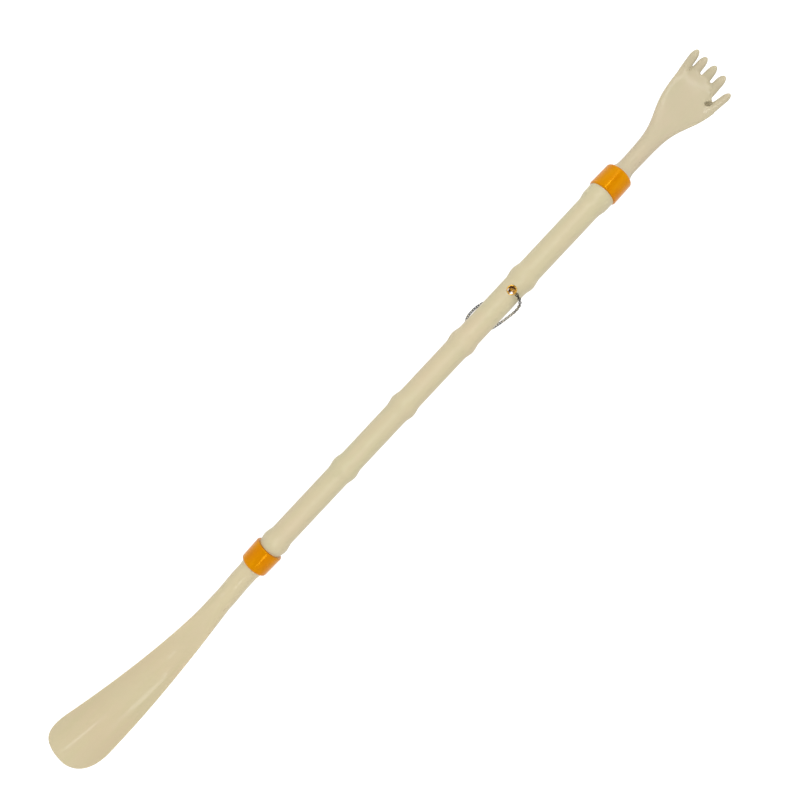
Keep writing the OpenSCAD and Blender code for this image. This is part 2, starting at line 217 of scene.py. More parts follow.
def filleted(corners: list[tuple[float, float, float]], steps: int) -> Array:
    """Loop of [length, radius] points with its corners rounded by arcs.

    An arc is a weighted quadratic curve between the two places where it leaves the straight sides.
    The corner's weight is the sine of half its angle, which makes the curve part of a circle.

    Args:
        corners: length, radius and rounding radius of each corner.
        steps: points on each arc.

    Returns:
        The points of the rounded loop.
    """
    at, radius = np.split(np.array(corners), [2], axis=1)
    sides = (np.roll(at, 1, 0) - at, np.roll(at, -1, 0) - at)
    before, after = (side / np.linalg.norm(side, axis=1, keepdims=True) for side in sides)
    half = np.arccos(np.clip((before * after).sum(1, keepdims=True), -1, 1)) / 2
    back = radius / np.tan(half)
    t = np.linspace(0, 1, steps)[None, :, None]
    start, end = (at + before * back)[:, None], (at + after * back)[:, None]
    middle = at[:, None]
    weight = np.sin(half)[:, None]
    top = (1 - t) ** 2 * start + 2 * weight * t * (1 - t) * middle + t**2 * end
    return (top / ((1 - t) ** 2 + 2 * weight * t * (1 - t) + t**2)).reshape(-1, 2)


def dished(
    x: Array, low_edge: Array, high_edge: Array, y_low: Array, z_low: Array, bend: Array, half: Array,
    cols: int
) -> Array:
    """Grid of oval sections across X, bent up to both sides like a dish.

    The height of a place is the lowest line's height, plus the bend times the squared distance from
    that line, plus the half thickness times the sine of the angle round the oval.

    Args:
        x: place of each section along X.
        low_edge: lowest y of each section.
        high_edge: highest y of each section.
        y_low: y of the dish's lowest line.
        z_low: height of that line.
        bend: rise for each squared millimetre from that line.
        half: half thickness of each section.
        cols: points round a section.

    Returns:
        The grid of points.
    """
    angle = np.pi - np.linspace(0, 2 * np.pi, cols, endpoint=False)
    y_mid, wide = (low_edge + high_edge) / 2, (high_edge - low_edge) / 2
    y = y_mid[:, None] + wide[:, None] * np.cos(angle)
    z = z_low[:, None] + bend[:, None] * (y - y_low[:, None]) ** 2 + half[:, None] * np.sin(angle)
    return np.stack([np.broadcast_to(x[:, None], y.shape), y, z], axis=-1)


def read(items: Any, field: str, width: int, kind: type) -> Array:
    """One field of a mesh's items as an array.

    Args:
        items: the mesh's vertices, edges, loops or faces.
        field: name of the field.
        width: numbers in the field.
        kind: type of the numbers.

    Returns:
        One row for each item.
    """
    values = np.empty(len(items) * width, kind)
    items.foreach_get(field, values)
    return values.reshape(-1, width)


# Materials

SOFT_SPAN = {"interpolation_type": "SMOOTHERSTEP"}
COLOUR_MIX = {"data_type": "RGBA", "clamp_factor": True}


def linear(colour: str) -> tuple[float, float, float, float]:
    """Linear red, green, blue and full alpha of an sRGB hex value, by the sRGB standard's curve."""
    srgb = np.array([int(colour[i:i + 2], 16) / 255 for i in (1, 3, 5)])
    return (*np.where(srgb <= 0.04045, srgb / 12.92, ((srgb + 0.055) / 1.055) ** 2.4).tolist(), 1.0)


def per_metre(size_mm: float) -> float:
    """Texture scale, in waves for each metre, of features that many millimetres across."""
    return 1.0 / (size_mm * MM)


def empty_tree(owner: Material | bpy.types.World) -> Tree:
    """Node tree of a material or a world, with nothing in it yet.

    Args:
        owner: the material or the world.

    Returns:
        Its empty tree.
    """
    owner.use_nodes = True
    owner.node_tree.nodes.clear()
    return owner.node_tree


def add(tree: Tree, kind: str, inputs: dict[str | int, Any] | None = None, **settings: Any) -> bpy.types.Node:
    """Adds a node to a tree, with its settings, values and links.

    Args:
        tree: the tree.
        kind: the node's type.
        inputs: what goes into each input, by its name or number: a value, another node's output, or
            a node, which stands for its first output.
        settings: the node's own settings.

    Returns:
        The new node.
    """
    node = tree.nodes.new(kind)
    for name, value in settings.items():
        setattr(node, name, value)
    for name, value in (inputs or {}).items():
        source = value.outputs[0] if isinstance(value, bpy.types.Node) else value
        if isinstance(source, bpy.types.NodeSocket):
            tree.links.new(source, node.inputs[name])
        else:
            node.inputs[name].default_value = source
    return node


@dataclass(frozen=True)
class MouldedPlastic:
    """Injection-moulded plastic: an even colour with faint flow streaks and cloudy patches, a skin
    with a fine orange peel from the mould, and gloss that changes a little from place to place."""

    name: str
    colour: str
    cloud: str
    streak: str
    roughness: float
    gloss_change: float
    specular: float
    peel_mm: float
    peel_height_mm: float
    tint: str = "#ffffff"
    cloud_mm: float = 26.0
    cloud_span: Pair = (0.2, 0.8)
    streak_mm: float = 3.5
    streak_stretch: float = 14.0
    streak_span: Pair = (0.35, 0.85)
    streak_share: float = 0.5
    details: tuple[float, float, float] = (2.0, 3.0, 1.0)
    ior: float = 1.5

    def make(self) -> Material:
        """Builds the nodes: clouds and streaks tint the colour, clouds change the gloss, peel is a bump.

        Returns:
            The material.
        """
        material = bpy.data.materials.new(self.name)
        tree = empty_tree(material)
        place = add(tree, "ShaderNodeTexCoord").outputs["Object"]
        along = add(tree, "ShaderNodeMapping", {"Vector": place, "Scale": (1 / self.streak_stretch, 1, 1)})
        sizes = (self.cloud_mm, self.streak_mm, self.peel_mm)
        clouds, streaks, peel = (
            add(tree, "ShaderNodeTexNoise", {"Vector": at, "Scale": per_metre(size), "Detail": detail})
            for at, size, detail in zip((place, along, place), sizes, self.details))
        gloss = (self.roughness - self.gloss_change, self.roughness + self.gloss_change)
        spans = ((clouds, *self.cloud_span, 0.0, 1.0), (streaks, *self.streak_span, 0.0, self.streak_share),
                 (clouds, *self.cloud_span, *gloss))
        cloudy, streaky, rough = (
            add(tree, "ShaderNodeMapRange", dict(enumerate(span)), **SOFT_SPAN) for span in spans)
        colour = linear(self.colour)
        for share, tone in ((cloudy, self.cloud), (streaky, self.streak)):
            both = {0: share, 6: colour, 7: linear(tone)}
            colour = add(tree, "ShaderNodeMix", both, **COLOUR_MIX).outputs[2]
        bump = add(tree, "ShaderNodeBump",
                   {"Height": peel, "Strength": 1.0, "Distance": self.peel_height_mm * MM})
        shader = add(tree, "ShaderNodeBsdfPrincipled", {
            "Base Color": colour, "Roughness": rough, "IOR": self.ior, "Normal": bump,
            "Specular IOR Level": self.specular, "Specular Tint": linear(self.tint)})
        add(tree, "ShaderNodeOutputMaterial", {"Surface": shader})
        return material


@dataclass(frozen=True)
class PolishedMetal:
    """Drawn and polished metal: a bright skin with fine scratches, darker patches where it is not rubbed,
    which on the brass are dull and tarnished and on the chain are painted shade, and, if a worn colour is
    given, bare metal near the eyelets' axis."""

    name: str
    colour: str
    # colour of the darker patches: dull tarnished brass on the eyelets, painted shade on the chain
    bloom_and_shade: str
    roughness: float
    worn: str | None = None
    worn_reach_mm: Pair = (1.9, 3.6)
    worn_roughness: float = 0.6
    scratch_mm: float = 0.25
    scratch_height_mm: float = 0.004
    scratch_strength: float = 0.4
    bloom_and_shade_mm: float = 1.6
    bloom_and_shade_span: Pair = (0.4, 0.65)
    bloom_and_shade_share: float = 0.9
    gloss_span: Pair = (0.3, 0.75)
    gloss_range: Pair = (0.7, 1.5)
    details: Pair = (3.0, 2.0)

    def make(self) -> Material:
        """Builds the nodes: darker patches change colour and gloss, and on the chain are painted shade; wear
        lies over them, scratches are a bump.

        Returns:
            The material.
        """
        material = bpy.data.materials.new(self.name)
        tree = empty_tree(material)
        place = add(tree, "ShaderNodeTexCoord").outputs["Object"]
        bloom_and_shade, scratch = (
            add(tree, "ShaderNodeTexNoise", {"Vector": place, "Scale": per_metre(size), "Detail": detail})
            for size, detail in zip((self.bloom_and_shade_mm, self.scratch_mm), self.details))
        gloss = (self.roughness * share for share in self.gloss_range)
        spans = ((bloom_and_shade, *self.bloom_and_shade_span, 0.0, self.bloom_and_shade_share), (bloom_and_shade, *self.gloss_span, *gloss))
        # mix towards the darker patches, which on the chain paint shade
        tarnish_and_shade, rough = (
            add(tree, "ShaderNodeMapRange", dict(enumerate(span)), **SOFT_SPAN) for span in spans)
        both = {0: tarnish_and_shade, 6: linear(self.colour), 7: linear(self.bloom_and_shade)}
        colour = add(tree, "ShaderNodeMix", both, **COLOUR_MIX).outputs[2]
        if self.worn:
            axis = (HANDLE_AT + np.array([EYELET_X, 0, 0])) * MM * np.array([1, 1, 0])
            flat = add(tree, "ShaderNodeVectorMath", {0: place, 1: (1.0, 1.0, 0.0)}, operation="MULTIPLY")
            away = add(tree, "ShaderNodeVectorMath", {0: flat, 1: tuple(axis)}, operation="DISTANCE")
            near, far = (reach * MM for reach in self.worn_reach_mm)
            fade = (away.outputs["Value"], near, far, 1.0, 0.0)
            rubbed = add(tree, "ShaderNodeMapRange", dict(enumerate(fade)), **SOFT_SPAN)
            both = {0: rubbed, 6: colour, 7: linear(self.worn)}
            colour = add(tree, "ShaderNodeMix", both, **COLOUR_MIX).outputs[2]
            rough = add(tree, "ShaderNodeMix", {0: rubbed, 2: rough, 3: self.worn_roughness})
        bump = add(tree, "ShaderNodeBump", {
            "Height": scratch, "Strength": self.scratch_strength, "Distance": self.scratch_height_mm * MM})
        shader = add(tree, "ShaderNodeBsdfPrincipled",
                     {"Base Color": colour, "Metallic": 1.0, "Roughness": rough, "Normal": bump})
        add(tree, "ShaderNodeOutputMaterial", {"Surface": shader})
        return material


# Ivory ABS from a satin mould, for the handle: milky cream with faintly warmer clouds and greener streaks
IVORY_HANDLE = MouldedPlastic(
    name="ivory_satin_abs", colour="#a9a082", cloud="#ac9f83", streak="#a5a07e", roughness=0.4,
    gloss_change=0.03, specular=0.24, peel_mm=1.4, peel_height_mm=0.012)

# The hand's ivory ABS, a paler batch from a smoother mould: cream with a soft sheen
IVORY_HAND = MouldedPlastic(
    name="ivory_pale_abs", colour="#a69d84", cloud="#a99c84", streak="#a39c80", roughness=0.22,
    gloss_change=0.03, specular=0.1, peel_mm=2.4, peel_height_mm=0.008)

# The blade's ivory ABS, a yellower batch from a polished mould: cream with thin, clear reflections
IVORY_BLADE = MouldedPlastic(
    name="ivory_polished_abs", colour="#ada284", cloud="#afa184", streak="#aaa27f", roughness=0.08,
    gloss_change=0.01, specular=0.15, peel_mm=3.0, peel_height_mm=0.004)

# Orange ABS from a polished mould: deep amber with a clear gloss that the colour tints
ORANGE_ABS = MouldedPlastic(
    name="orange_polished_abs", colour="#b07101", cloud="#ac6501", streak="#b57801", roughness=0.14,
    gloss_change=0.02, specular=0.4, peel_mm=2.2, peel_height_mm=0.004, tint="#ffc020", cloud_mm=9.0)

# Drawn brass eyelet, rolled by the setting punch: yellow gold with darker gold where it is dull
EYELET_BRASS = PolishedMetal(name="polished_brass", colour="#d8aa48", bloom_and_shade="#a67a2e", roughness=0.55)

# Nickel plate on brass wire: grey links with painted shade, nearly black patches about two links long that
# stand for the dark gaps among the links and are drawn coarser than the real ones so that they show, and worn
# to the brass inside the eyelets
CHAIN_NICKEL = PolishedMetal(
    name="bright_nickel_plate", colour="#94896e", bloom_and_shade="#040302", roughness=0.2, worn="#c0923c",
    bloom_and_shade_mm=3.2, bloom_and_shade_span=(0.44, 0.52))


def finished(piece: Object, material: Material, node: str) -> Object:
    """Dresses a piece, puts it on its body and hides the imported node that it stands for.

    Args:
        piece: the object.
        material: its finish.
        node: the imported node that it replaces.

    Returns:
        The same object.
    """
    piece.data.materials.clear()
    piece.data.materials.append(material)
    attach(piece, BODY)
    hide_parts(node)
    return piece


# Sub-assemblies


@dataclass
class Handle:
    """The bamboo-style handle: a bored tube with six swollen joints, turned ends and eyelet seats."""

    material: Material
    length: float = 280.0
    radius: float = 7.25
    bore_r: float = 4.5
    inner_joints: int = 4
    joint_pitch: float = 50.0
    joint_rise: float = 1.05
    joint_half: float = 6.5
    end_joint_inset: float = 5.0
    tenon_r: float = 6.1
    tenon_length: float = 5.0
    hole_r: float = 2.7
    seat_r: float = 3.0
    seat_z: float = round(math.sqrt(radius**2 - seat_r**2), 4)
    rows: int = 281
    seat_reach: float = 5.0
    seat_rows: int = 41
    bore_rows: int = 30
    cols: int = 160
    cutter_cols: int = 96
    cutter_reach: float = 2.5
    cutter_tip_r: float = 1e-3
    sharp_deg: float = 35.0

    def joints(self) -> Array:
        """Places of the joints' crests along the handle: evenly spaced ones and one near each end."""
        end, middle = self.length / 2 - self.end_joint_inset, (self.inner_joints - 1) / 2
        return np.array([-end, *((np.arange(self.inner_joints) - middle) * self.joint_pitch), end])

    def radius_at(self, x: Array) -> Array:
        """Radius with a raised cosine at each joint; the last one keeps its full height into the collar."""
        near = np.abs(np.minimum(x, self.joints()[-1])[:, None] - self.joints()).min(1)
        return self.radius + self.joint_rise * (1 + np.cos(np.pi * np.clip(near / self.joint_half, 0, 1))) / 2

    def build(self) -> Object:
        """Turns the tube, cuts the eyelets' hole and seats and dresses it.

        Returns:
            The handle.
        """
        half = self.length / 2
        end = half + self.tenon_length
        coarse = np.linspace(-half, half, self.rows)
        fine = np.linspace(EYELET_X - self.seat_reach, EYELET_X + self.seat_reach, self.seat_rows)
        x = np.unique(np.round(np.concatenate([coarse, fine]), 4))
        bore = np.linspace(end, -end, self.bore_rows)[1:-1]
        loop = np.vstack([
            [[-end, self.bore_r], [-end, self.tenon_r], [-half, self.tenon_r]],
            np.stack([x, self.radius_at(x)], 1),
            [[half, self.tenon_r], [end, self.tenon_r], [end, self.bore_r]],
            np.stack([bore, np.full_like(bore, self.bore_r)], 1)])
        tube = turned(loop, self.cols).to_object("handle")
        self.cut(tube)
        return finished(tube, self.material, "bamboo_handle")

    def cut(self, tube: Object) -> None:
        """Cuts the eyelets' hole and seats by taking away round bars that stand across the handle.

        Args:
            tube: the turned tube.
        """
        tip, reach = self.cutter_tip_r, self.cutter_reach * self.radius
        bars = {"cross_hole": (self.hole_r, -reach, reach), "front_seat": (self.seat_r, self.seat_z, reach),
                "rear_seat": (self.seat_r, -reach, -self.seat_z)}
        for name, (radius, low, high) in bars.items():
            profile = np.array([[low, tip], [low, radius], [high, radius], [high, tip]])
            bar = turned(profile, self.cutter_cols, closed=False)
            x, y, z = bar.points.T
            cut = tube.modifiers.new(name, "BOOLEAN")
            cut.operation, cut.solver = "DIFFERENCE", "EXACT"
            cut.object = bar.moved(np.stack([z + EYELET_X, y, x], 1)).to_object(name)
        graph = bpy.context.evaluated_depsgraph_get()
        mesh = bpy.data.meshes.new_from_object(tube.evaluated_get(graph))
        for cut in tube.modifiers:
            bpy.data.objects.remove(cut.object)
        tube.modifiers.clear()
        tube.data = mesh
        shade(mesh, self.sharp_deg)


@dataclass
class Collar:
    """An orange collar, from its end at the handle to its rounded far end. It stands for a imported
    node, on side 1 at the hand or -1 at the blade."""

    name: str
    node: str
    side: int
    material: Material
    radius: float = 9.2
    length: float = 14.5
    taper: float = 0.3
    far_round: float = 1.5
    near_round: float = 0.85
    mouth_round: float = 0.1
    step_round: float = 0.05
    bore_r: float = Handle.bore_r
    counterbore_r: float = 6.15
    counterbore: float = 5.3
    start: float = Handle.length / 2
    arc_steps: int = 12
    cols: int = 160
    sharp_deg: float = 50.0

    def build(self) -> Object:
        """Turns the collar and dresses it.

        Returns:
            The collar.
        """
        profile = filleted([
            (0, self.counterbore_r, self.mouth_round), (0, self.radius, self.near_round),
            (self.length, self.radius - self.taper, self.far_round),
            (self.length, self.bore_r, self.mouth_round), (self.counterbore, self.bore_r, self.step_round),
            (self.counterbore, self.counterbore_r, self.step_round)], self.arc_steps)
        profile[:, 0] += self.start
        ring = turned(profile, self.cols)
        shell = ring.moved(ring.points * np.array([self.side, self.side, 1]))
        piece = shell.to_object(self.name, self.sharp_deg)
        return finished(piece, self.material, self.node)


COLLAR_FACE = Collar.start + Collar.length  # where the hand and the blade leave their collars


@dataclass
class Spigot:
    """The turned root of the hand or the blade: a spigot in the handle's bore, a shoulder and a flare."""

    radius: float = Handle.bore_r - 0.05
    depth: float = 14.0
    lead: float = 0.8
    under_shoulder: float = 0.02
    shoulder_r: float = 7.3
    shoulder_round: float = 0.15
    flare: float = 6.0
    flare_power: float = 2.2
    flare_rows: int = 28
    arc_rows: int = 6

    def profile(self, neck_r: float) -> tuple[Array, Array]:
        """Outline from the spigot's end to the neck: the flare falls off with a power of the distance.

        Args:
            neck_r: radius of the neck that the flare runs down to.

        Returns:
            Distances from the collar's far face, and the radius at each.
        """
        back = -(Collar.length + self.depth)
        r, rise = self.shoulder_round, self.shoulder_r - neck_r
        left = 1 - r / self.flare
        v = np.linspace(0, 1, self.flare_rows)[1:]
        arc = np.linspace(0, np.pi / 2, self.arc_rows)
        top = rise * left**self.flare_power + neck_r
        lip = np.minimum(top - r + r * np.sin(arc), top)
        fall = neck_r + rise * ((1 - v) * left) ** self.flare_power
        spigot_x = [back, back + self.lead, -self.under_shoulder, 0.0]
        spigot_r = [self.radius - self.lead, self.radius, self.radius, self.radius]
        x = np.concatenate([spigot_x, r - r * np.cos(arc), mix(r, self.flare, v)])
        return x, np.concatenate([spigot_r, lip, fall])


@dataclass(frozen=True)
class Digit:
    """A finger or the thumb: place of its root across the palm, lean from the axis in degrees, reach
    and width in plan, extra share of width before its slim part, share of width left at the tip,
    share of reach at which the tip's rounding starts, height above the sheet, and how far its root
    lies behind the palm's end."""

    place: float
    lean: float
    reach: float
    width: float
    flare: float = 0.0
    taper: float = 1.0
    tip_from: float = 0.82
    lift: float = 0.0
    root: float = 11.5


@dataclass
class Hand:
    """The scratcher's hand: a wrist that widens into a dished palm, four curled fingers and a thumb,
    all on one bent sheet. Each span gives the shares of the palm's length, and slim_span those of a
    finger's reach, between which a change takes place. u is the distance from the collar's far face."""

    material: Material
    wrist_r: float = 5.2
    skin_from: float = 9.0
    skin_lap: float = 2.0
    root_lap: float = 3.0
    root_near: float = 0.35
    length: float = 68.5
    width: float = 33.0
    left_middle: float = 0.57
    right_middle: float = 0.65
    spread_steep: float = 12.0
    spread_late: float = 0.12
    notch_span: Pair = (0.857, 0.941)
    thickness: float = 5.0
    thin_span: Pair = (0.2, 0.7)
    dish: float = 2.6
    dish_span: Pair = (0.38, 0.7)
    flat_span: Pair = (0.76, 0.98)
    flat_share: float = 0.35
    sag: float = 1.6
    sag_span: Pair = (0.2, 0.65)
    lift: float = 4.4
    rise_from: float = 0.615
    hook: float = 6.0
    hook_from: float = 11.5
    hook_reach: float = 16.3
    end: float = 2.2
    corner: float = 6.0
    blunt: float = 0.1
    fingers: tuple[Digit, ...] = (
        Digit(12.606, 9.5, 16.3, 4.896, flare=0.02), Digit(7.986, 3.9, 16.3, 4.998, flare=0.14),
        Digit(1.122, 3.3, 16.3, 5.151, flare=0.2), Digit(-5.445, 0.7, 15.811, 5.1, flare=0.14))
    thumb: Digit = Digit(-10.23, -11.5, 19.8, 6.8, taper=0.6, tip_from=0.87, lift=0.5, root=18.5)
    finger_thick: float = 4.8
    tip_thin: float = 0.74
    tip_close: float = 1.002
    root_share: float = 0.5
    grown: float = 0.45
    thick_grown: float = 0.95
    slim_span: Pair = (0.5, 0.9)
    web_depths: tuple[float, ...] = (3.2, 0.9, 1.0)
    web_wide: float = 1.7
    web_span: Pair = (0.72, 1.0)
    pocket_at: Pair = (60.5, -9.1)
    pocket_size: Pair = (1.8, 1.1)
    pocket_turn: float = -40.0
    pocket_depth: float = 3.4
    pocket_power: float = 1.5
    pocket_above: float = 1.2
    soft_above: float = 1.0
    soft_from: Pair = (40.0, 46.0)
    soft_to: Pair = (64.0, 68.0)
    palm_rows: int = 90
    palm_cols: int = 96
    finger_rows: int = 48
    finger_cols: int = 40
    root_cols: int = 96
    voxel: float = 0.3
    steps: Pair = (0.6, -0.62)
    rounds: int = 12
    last_step: float = 0.5
    last_rounds: int = 30
    sharp_deg: float = 60.0

    def spread(self, u: Array, middle: float) -> Array:
        """S-curve round a share of the palm's length, with a little of its fourth power."""
        v = u / self.length
        return mix(1 / (1 + np.exp(-self.spread_steep * (v - middle))), v**4, self.spread_late)

    def edges(self, u: Array) -> tuple[Array, Array]:
        """How far the palm's edges lie from the axis: S-curves, and a step in at the thumb's notch.

        Args:
            u: places along the hand.

        Returns:
            The distances on the little finger's side and on the thumb's side.
        """
        u = np.minimum(u, self.length)
        index = self.fingers[-1]
        left, right = (mix(self.wrist_r, self.width / 2, self.spread(u, middle))
                       for middle in (self.left_middle, self.right_middle))
        return left, mix(right, index.width / 2 - index.place, step(u / self.length, self.notch_span))

    def bend(self, u: Array) -> Array:
        """Rise of the dish for each squared millimetre from its middle."""
        flatter = mix(1, self.flat_share, step(u / self.length, self.flat_span))
        return self.dish / (self.width / 2) ** 2 * step(u / self.length, self.dish_span) * flatter

    def low_line(self, u: Array) -> Array:
        """Height of the sheet along its middle: a sag, a square rise and a cube that curls the fingers.

        Args:
            u: places along the hand.

        Returns:
            The height at each place.
        """
        rise = np.maximum((u / self.length - self.rise_from) / (1 - self.rise_from), 0) ** 2
        curl = (np.maximum(u - self.length + self.hook_from, 0) / self.hook_reach) ** 3
        return -self.sag * step(u / self.length, self.sag_span) + self.lift * rise + self.hook * curl

    def sheet(self, u: Array, y: Array) -> Array:
        """Height of the hand's middle surface: the low line plus the bend times the squared distance."""
        left, right = self.edges(u)
        return self.low_line(u) + self.bend(u) * (y - (left - right) / 2) ** 2

    def palm(self) -> Shell:
        """Wrist and palm as one run of dished sections, drawn back between the fingers.

        Returns:
            The palm.
        """
        rows = np.sin(np.linspace(0, np.pi / 2, self.palm_rows))
        u = mix(self.skin_from - self.skin_lap, self.length, rows)
        corner = self.corner * (1 - rounded_end(u - self.length + self.corner, self.corner + self.blunt)) / 2
        left, right = self.edges(u)
        half = mix(self.wrist_r, self.thickness / 2, step(u / self.length, self.thin_span))
        half = half * rounded_end(u - self.length + self.end, self.end + self.blunt)
        grid = dished(u, corner / 2 - right, left - corner, (left - right) / 2, self.low_line(u),
                      self.bend(u), half, self.palm_cols)
        plan = grid[..., 1]
        back = u[:, None] - self.webs(plan) * step(u / self.length, self.web_span)[:, None]
        lowered = self.sheet(back, plan) - self.sheet(u[:, None], plan)
        return Shell.of_grid(np.stack([back, plan, grid[..., 2] + lowered], axis=-1))

    def webs(self, y: Array) -> Array:
        """How far the palm's end lies back between the fingers: a bell curve at each web.

        Args:
            y: distances from the axis.

        Returns:
            The depth at each place.
        """
        place, root, lean = np.array([(f.place, f.root, f.lean) for f in self.fingers]).T
        ends = place + root * np.tan(np.radians(lean))
        middles = (ends[1:] + ends[:-1]) / 2
        bells = np.exp(-(((y[..., None] - middles) / self.web_wide) ** 2))
        return bells @ np.array(self.web_depths)

    def finger(self, digit: Digit) -> Shell:
        """An oval that grows out of the sheet and is carried along it to a round tip.

        Args:
            digit: the sizes of the finger or the thumb.

        Returns:
            The finger.
        """
        q = np.sin(np.linspace(0, np.pi / 2, self.finger_rows))
        turn = math.radians(digit.lean)
        ahead = np.array([math.cos(turn), math.sin(turn), 0])
        side = np.array([-ahead[1], ahead[0], 0])
        run = digit.reach * q
        u, y = self.length - digit.root + run * ahead[0], digit.place + run * ahead[1]
        growth = ease(q / self.grown)
        z = self.sheet(u, y) + digit.lift * growth
        slope = np.arctan(np.gradient(z, run))[:, None]
        cap = rounded_end(q - digit.tip_from, self.tip_close - digit.tip_from) / 2
        wide = digit.width * mix(1, digit.taper, q) * mix(1 + digit.flare, 1.0, step(q, self.slim_span))
        wide = (wide * cap * mix(self.root_share, 1.0, growth))[:, None]
        thick = mix(self.root_share, 1.0, ease(q / self.thick_grown)) * mix(1, self.tip_thin, q)
        deep = (self.finger_thick * thick * cap)[:, None]
        t = np.linspace(0, 2 * np.pi, self.finger_cols, endpoint=False)
        up = np.cos(slope) * np.array([0, 0, 1.0]) - np.sin(slope) * ahead
        middle = np.stack([u, y, z], 1)[:, None]
        grid = middle + (wide * np.cos(t))[..., None] * side + (deep * np.sin(t))[..., None] * up[:, None]
        return Shell.of_grid(grid)

    def root_profile(self) -> tuple[Array, Array]:
        """Distances and radii of the turned root, which runs on for a lap inside the palm's skin."""
        x, r = Spigot().profile(self.wrist_r)
        return np.append(x, self.skin_from + self.root_lap), np.append(r, self.wrist_r)

    def softness(self, points: Array) -> Array:
        """Share of extra easing: full on the upper side of the finger roots, none at webs, tips and edges.

        Args:
            points: the merged points, measured from the handle's middle.

        Returns:
            The share for each point.
        """
        u, y, z = points[:, 0] - COLLAR_FACE, points[:, 1], points[:, 2]
        above = ease((z - self.sheet(u, y)) / self.soft_above)
        along = step(u, self.soft_from) * (1 - step(u, self.soft_to))
        return above * along

    def fused(self, parts: Shell) -> Shell:
        """Outer skin of the overlapping parts, with their meeting lines eased.

        The parts are merged on a grid of cubes. Then each point moves towards the mean of its
        neighbours and a little further back, in turns, which takes the steps out without shrinking.
        Last, points move towards that mean by their share of softness.

        Args:
            parts: the overlapping parts.

        Returns:
            The merged skin.
        """
        rough = parts.to_object("hand_merge")
        merge = rough.modifiers.new("merge", "REMESH")
        merge.mode, merge.voxel_size = "VOXEL", self.voxel * MM
        graph = bpy.context.evaluated_depsgraph_get()
        mesh = bpy.data.meshes.new_from_object(rough.evaluated_get(graph))
        points = read(mesh.vertices, "co", 3, float) / MM - HANDLE_AT
        a, b = read(mesh.edges, "vertices", 2, int).T
        corners = read(mesh.loops, "vertex_index", 1, int)[:, 0]
        first = read(mesh.polygons, "loop_start", 1, int)
        sides = read(mesh.polygons, "loop_total", 1, int)[:, 0]
        quads, tris = (corners[first[sides == n] + np.arange(n)] for n in (4, 3))
        bpy.data.objects.remove(rough)
        bpy.data.meshes.remove(mesh)
        ends, others = np.concatenate([a, b]), np.concatenate([b, a])
        count = np.bincount(ends, minlength=len(points))
        last_move = self.last_step * self.softness(points)[:, None]
        for move in (*np.tile(self.steps, self.rounds), *[last_move] * self.last_rounds):
            total = np.stack([np.bincount(ends, axis[others], len(points)) for axis in points.T], axis=1)
            points = points + move * (total / count[:, None] - points)
        return Shell(points, quads, tris)

    def sculpt(self, points: Array) -> Array:
        """Presses the pocket between index finger and thumb into the upper side, as a steep dimple.

        Args:
            points: the hand's points, measured from the collar's far face.

        Returns:
            The moved points.
        """
        u, y, z = points.T
        upper = ease((z - self.sheet(u, y)) / self.pocket_above)
        cos, sin = math.cos(math.radians(self.pocket_turn)), math.sin(math.radians(self.pocket_turn))
        du, dy = u - self.pocket_at[0], y - self.pocket_at[1]
        along, across = du * cos + dy * sin, dy * cos - du * sin
        reach = (along / self.pocket_size[0]) ** 2 + (across / self.pocket_size[1]) ** 2
        return np.stack([u, y, z - upper * self.pocket_depth * np.exp(-(reach**self.pocket_power))], 1)

    def trued(self, points: Array) -> Array:
        """Draws the skin of the root on to its turned profile, less and less over the lap with the palm.

        Args:
            points: the hand's points, measured from the collar's far face.

        Returns:
            The moved points.
        """
        u, radial = points[:, 0], np.hypot(points[:, 1], points[:, 2])
        true_r = np.interp(u, *self.root_profile())
        lap_end = self.skin_from + self.root_lap
        near = (np.abs(radial - true_r) < self.root_near) & (u < lap_end)
        pull = np.where(near, true_r / np.maximum(radial, NEVER_ZERO), 1.0)
        pull = mix(1.0, pull, ease((lap_end - u) / self.root_lap))
        return points * np.stack([np.ones_like(pull), pull, pull], 1)

    def build(self) -> Object:
        """Merges palm, fingers, thumb and root, eases the webs and dresses the hand.

        Returns:
            The hand.
        """
        digits = [self.finger(digit) for digit in (*self.fingers, self.thumb)]
        root = turned(np.stack(self.root_profile(), 1), self.root_cols, closed=False)
        parts = self.palm().plus(*digits, root)
        shift = np.array([COLLAR_FACE, 0, 0])
        skin = self.fused(parts.moved(parts.points + shift))
        points = self.trued(self.sculpt(skin.points - shift))
        piece = skin.moved(points + shift).to_object("hand", self.sharp_deg)
        return finished(piece, self.material, "scratcher_hand")


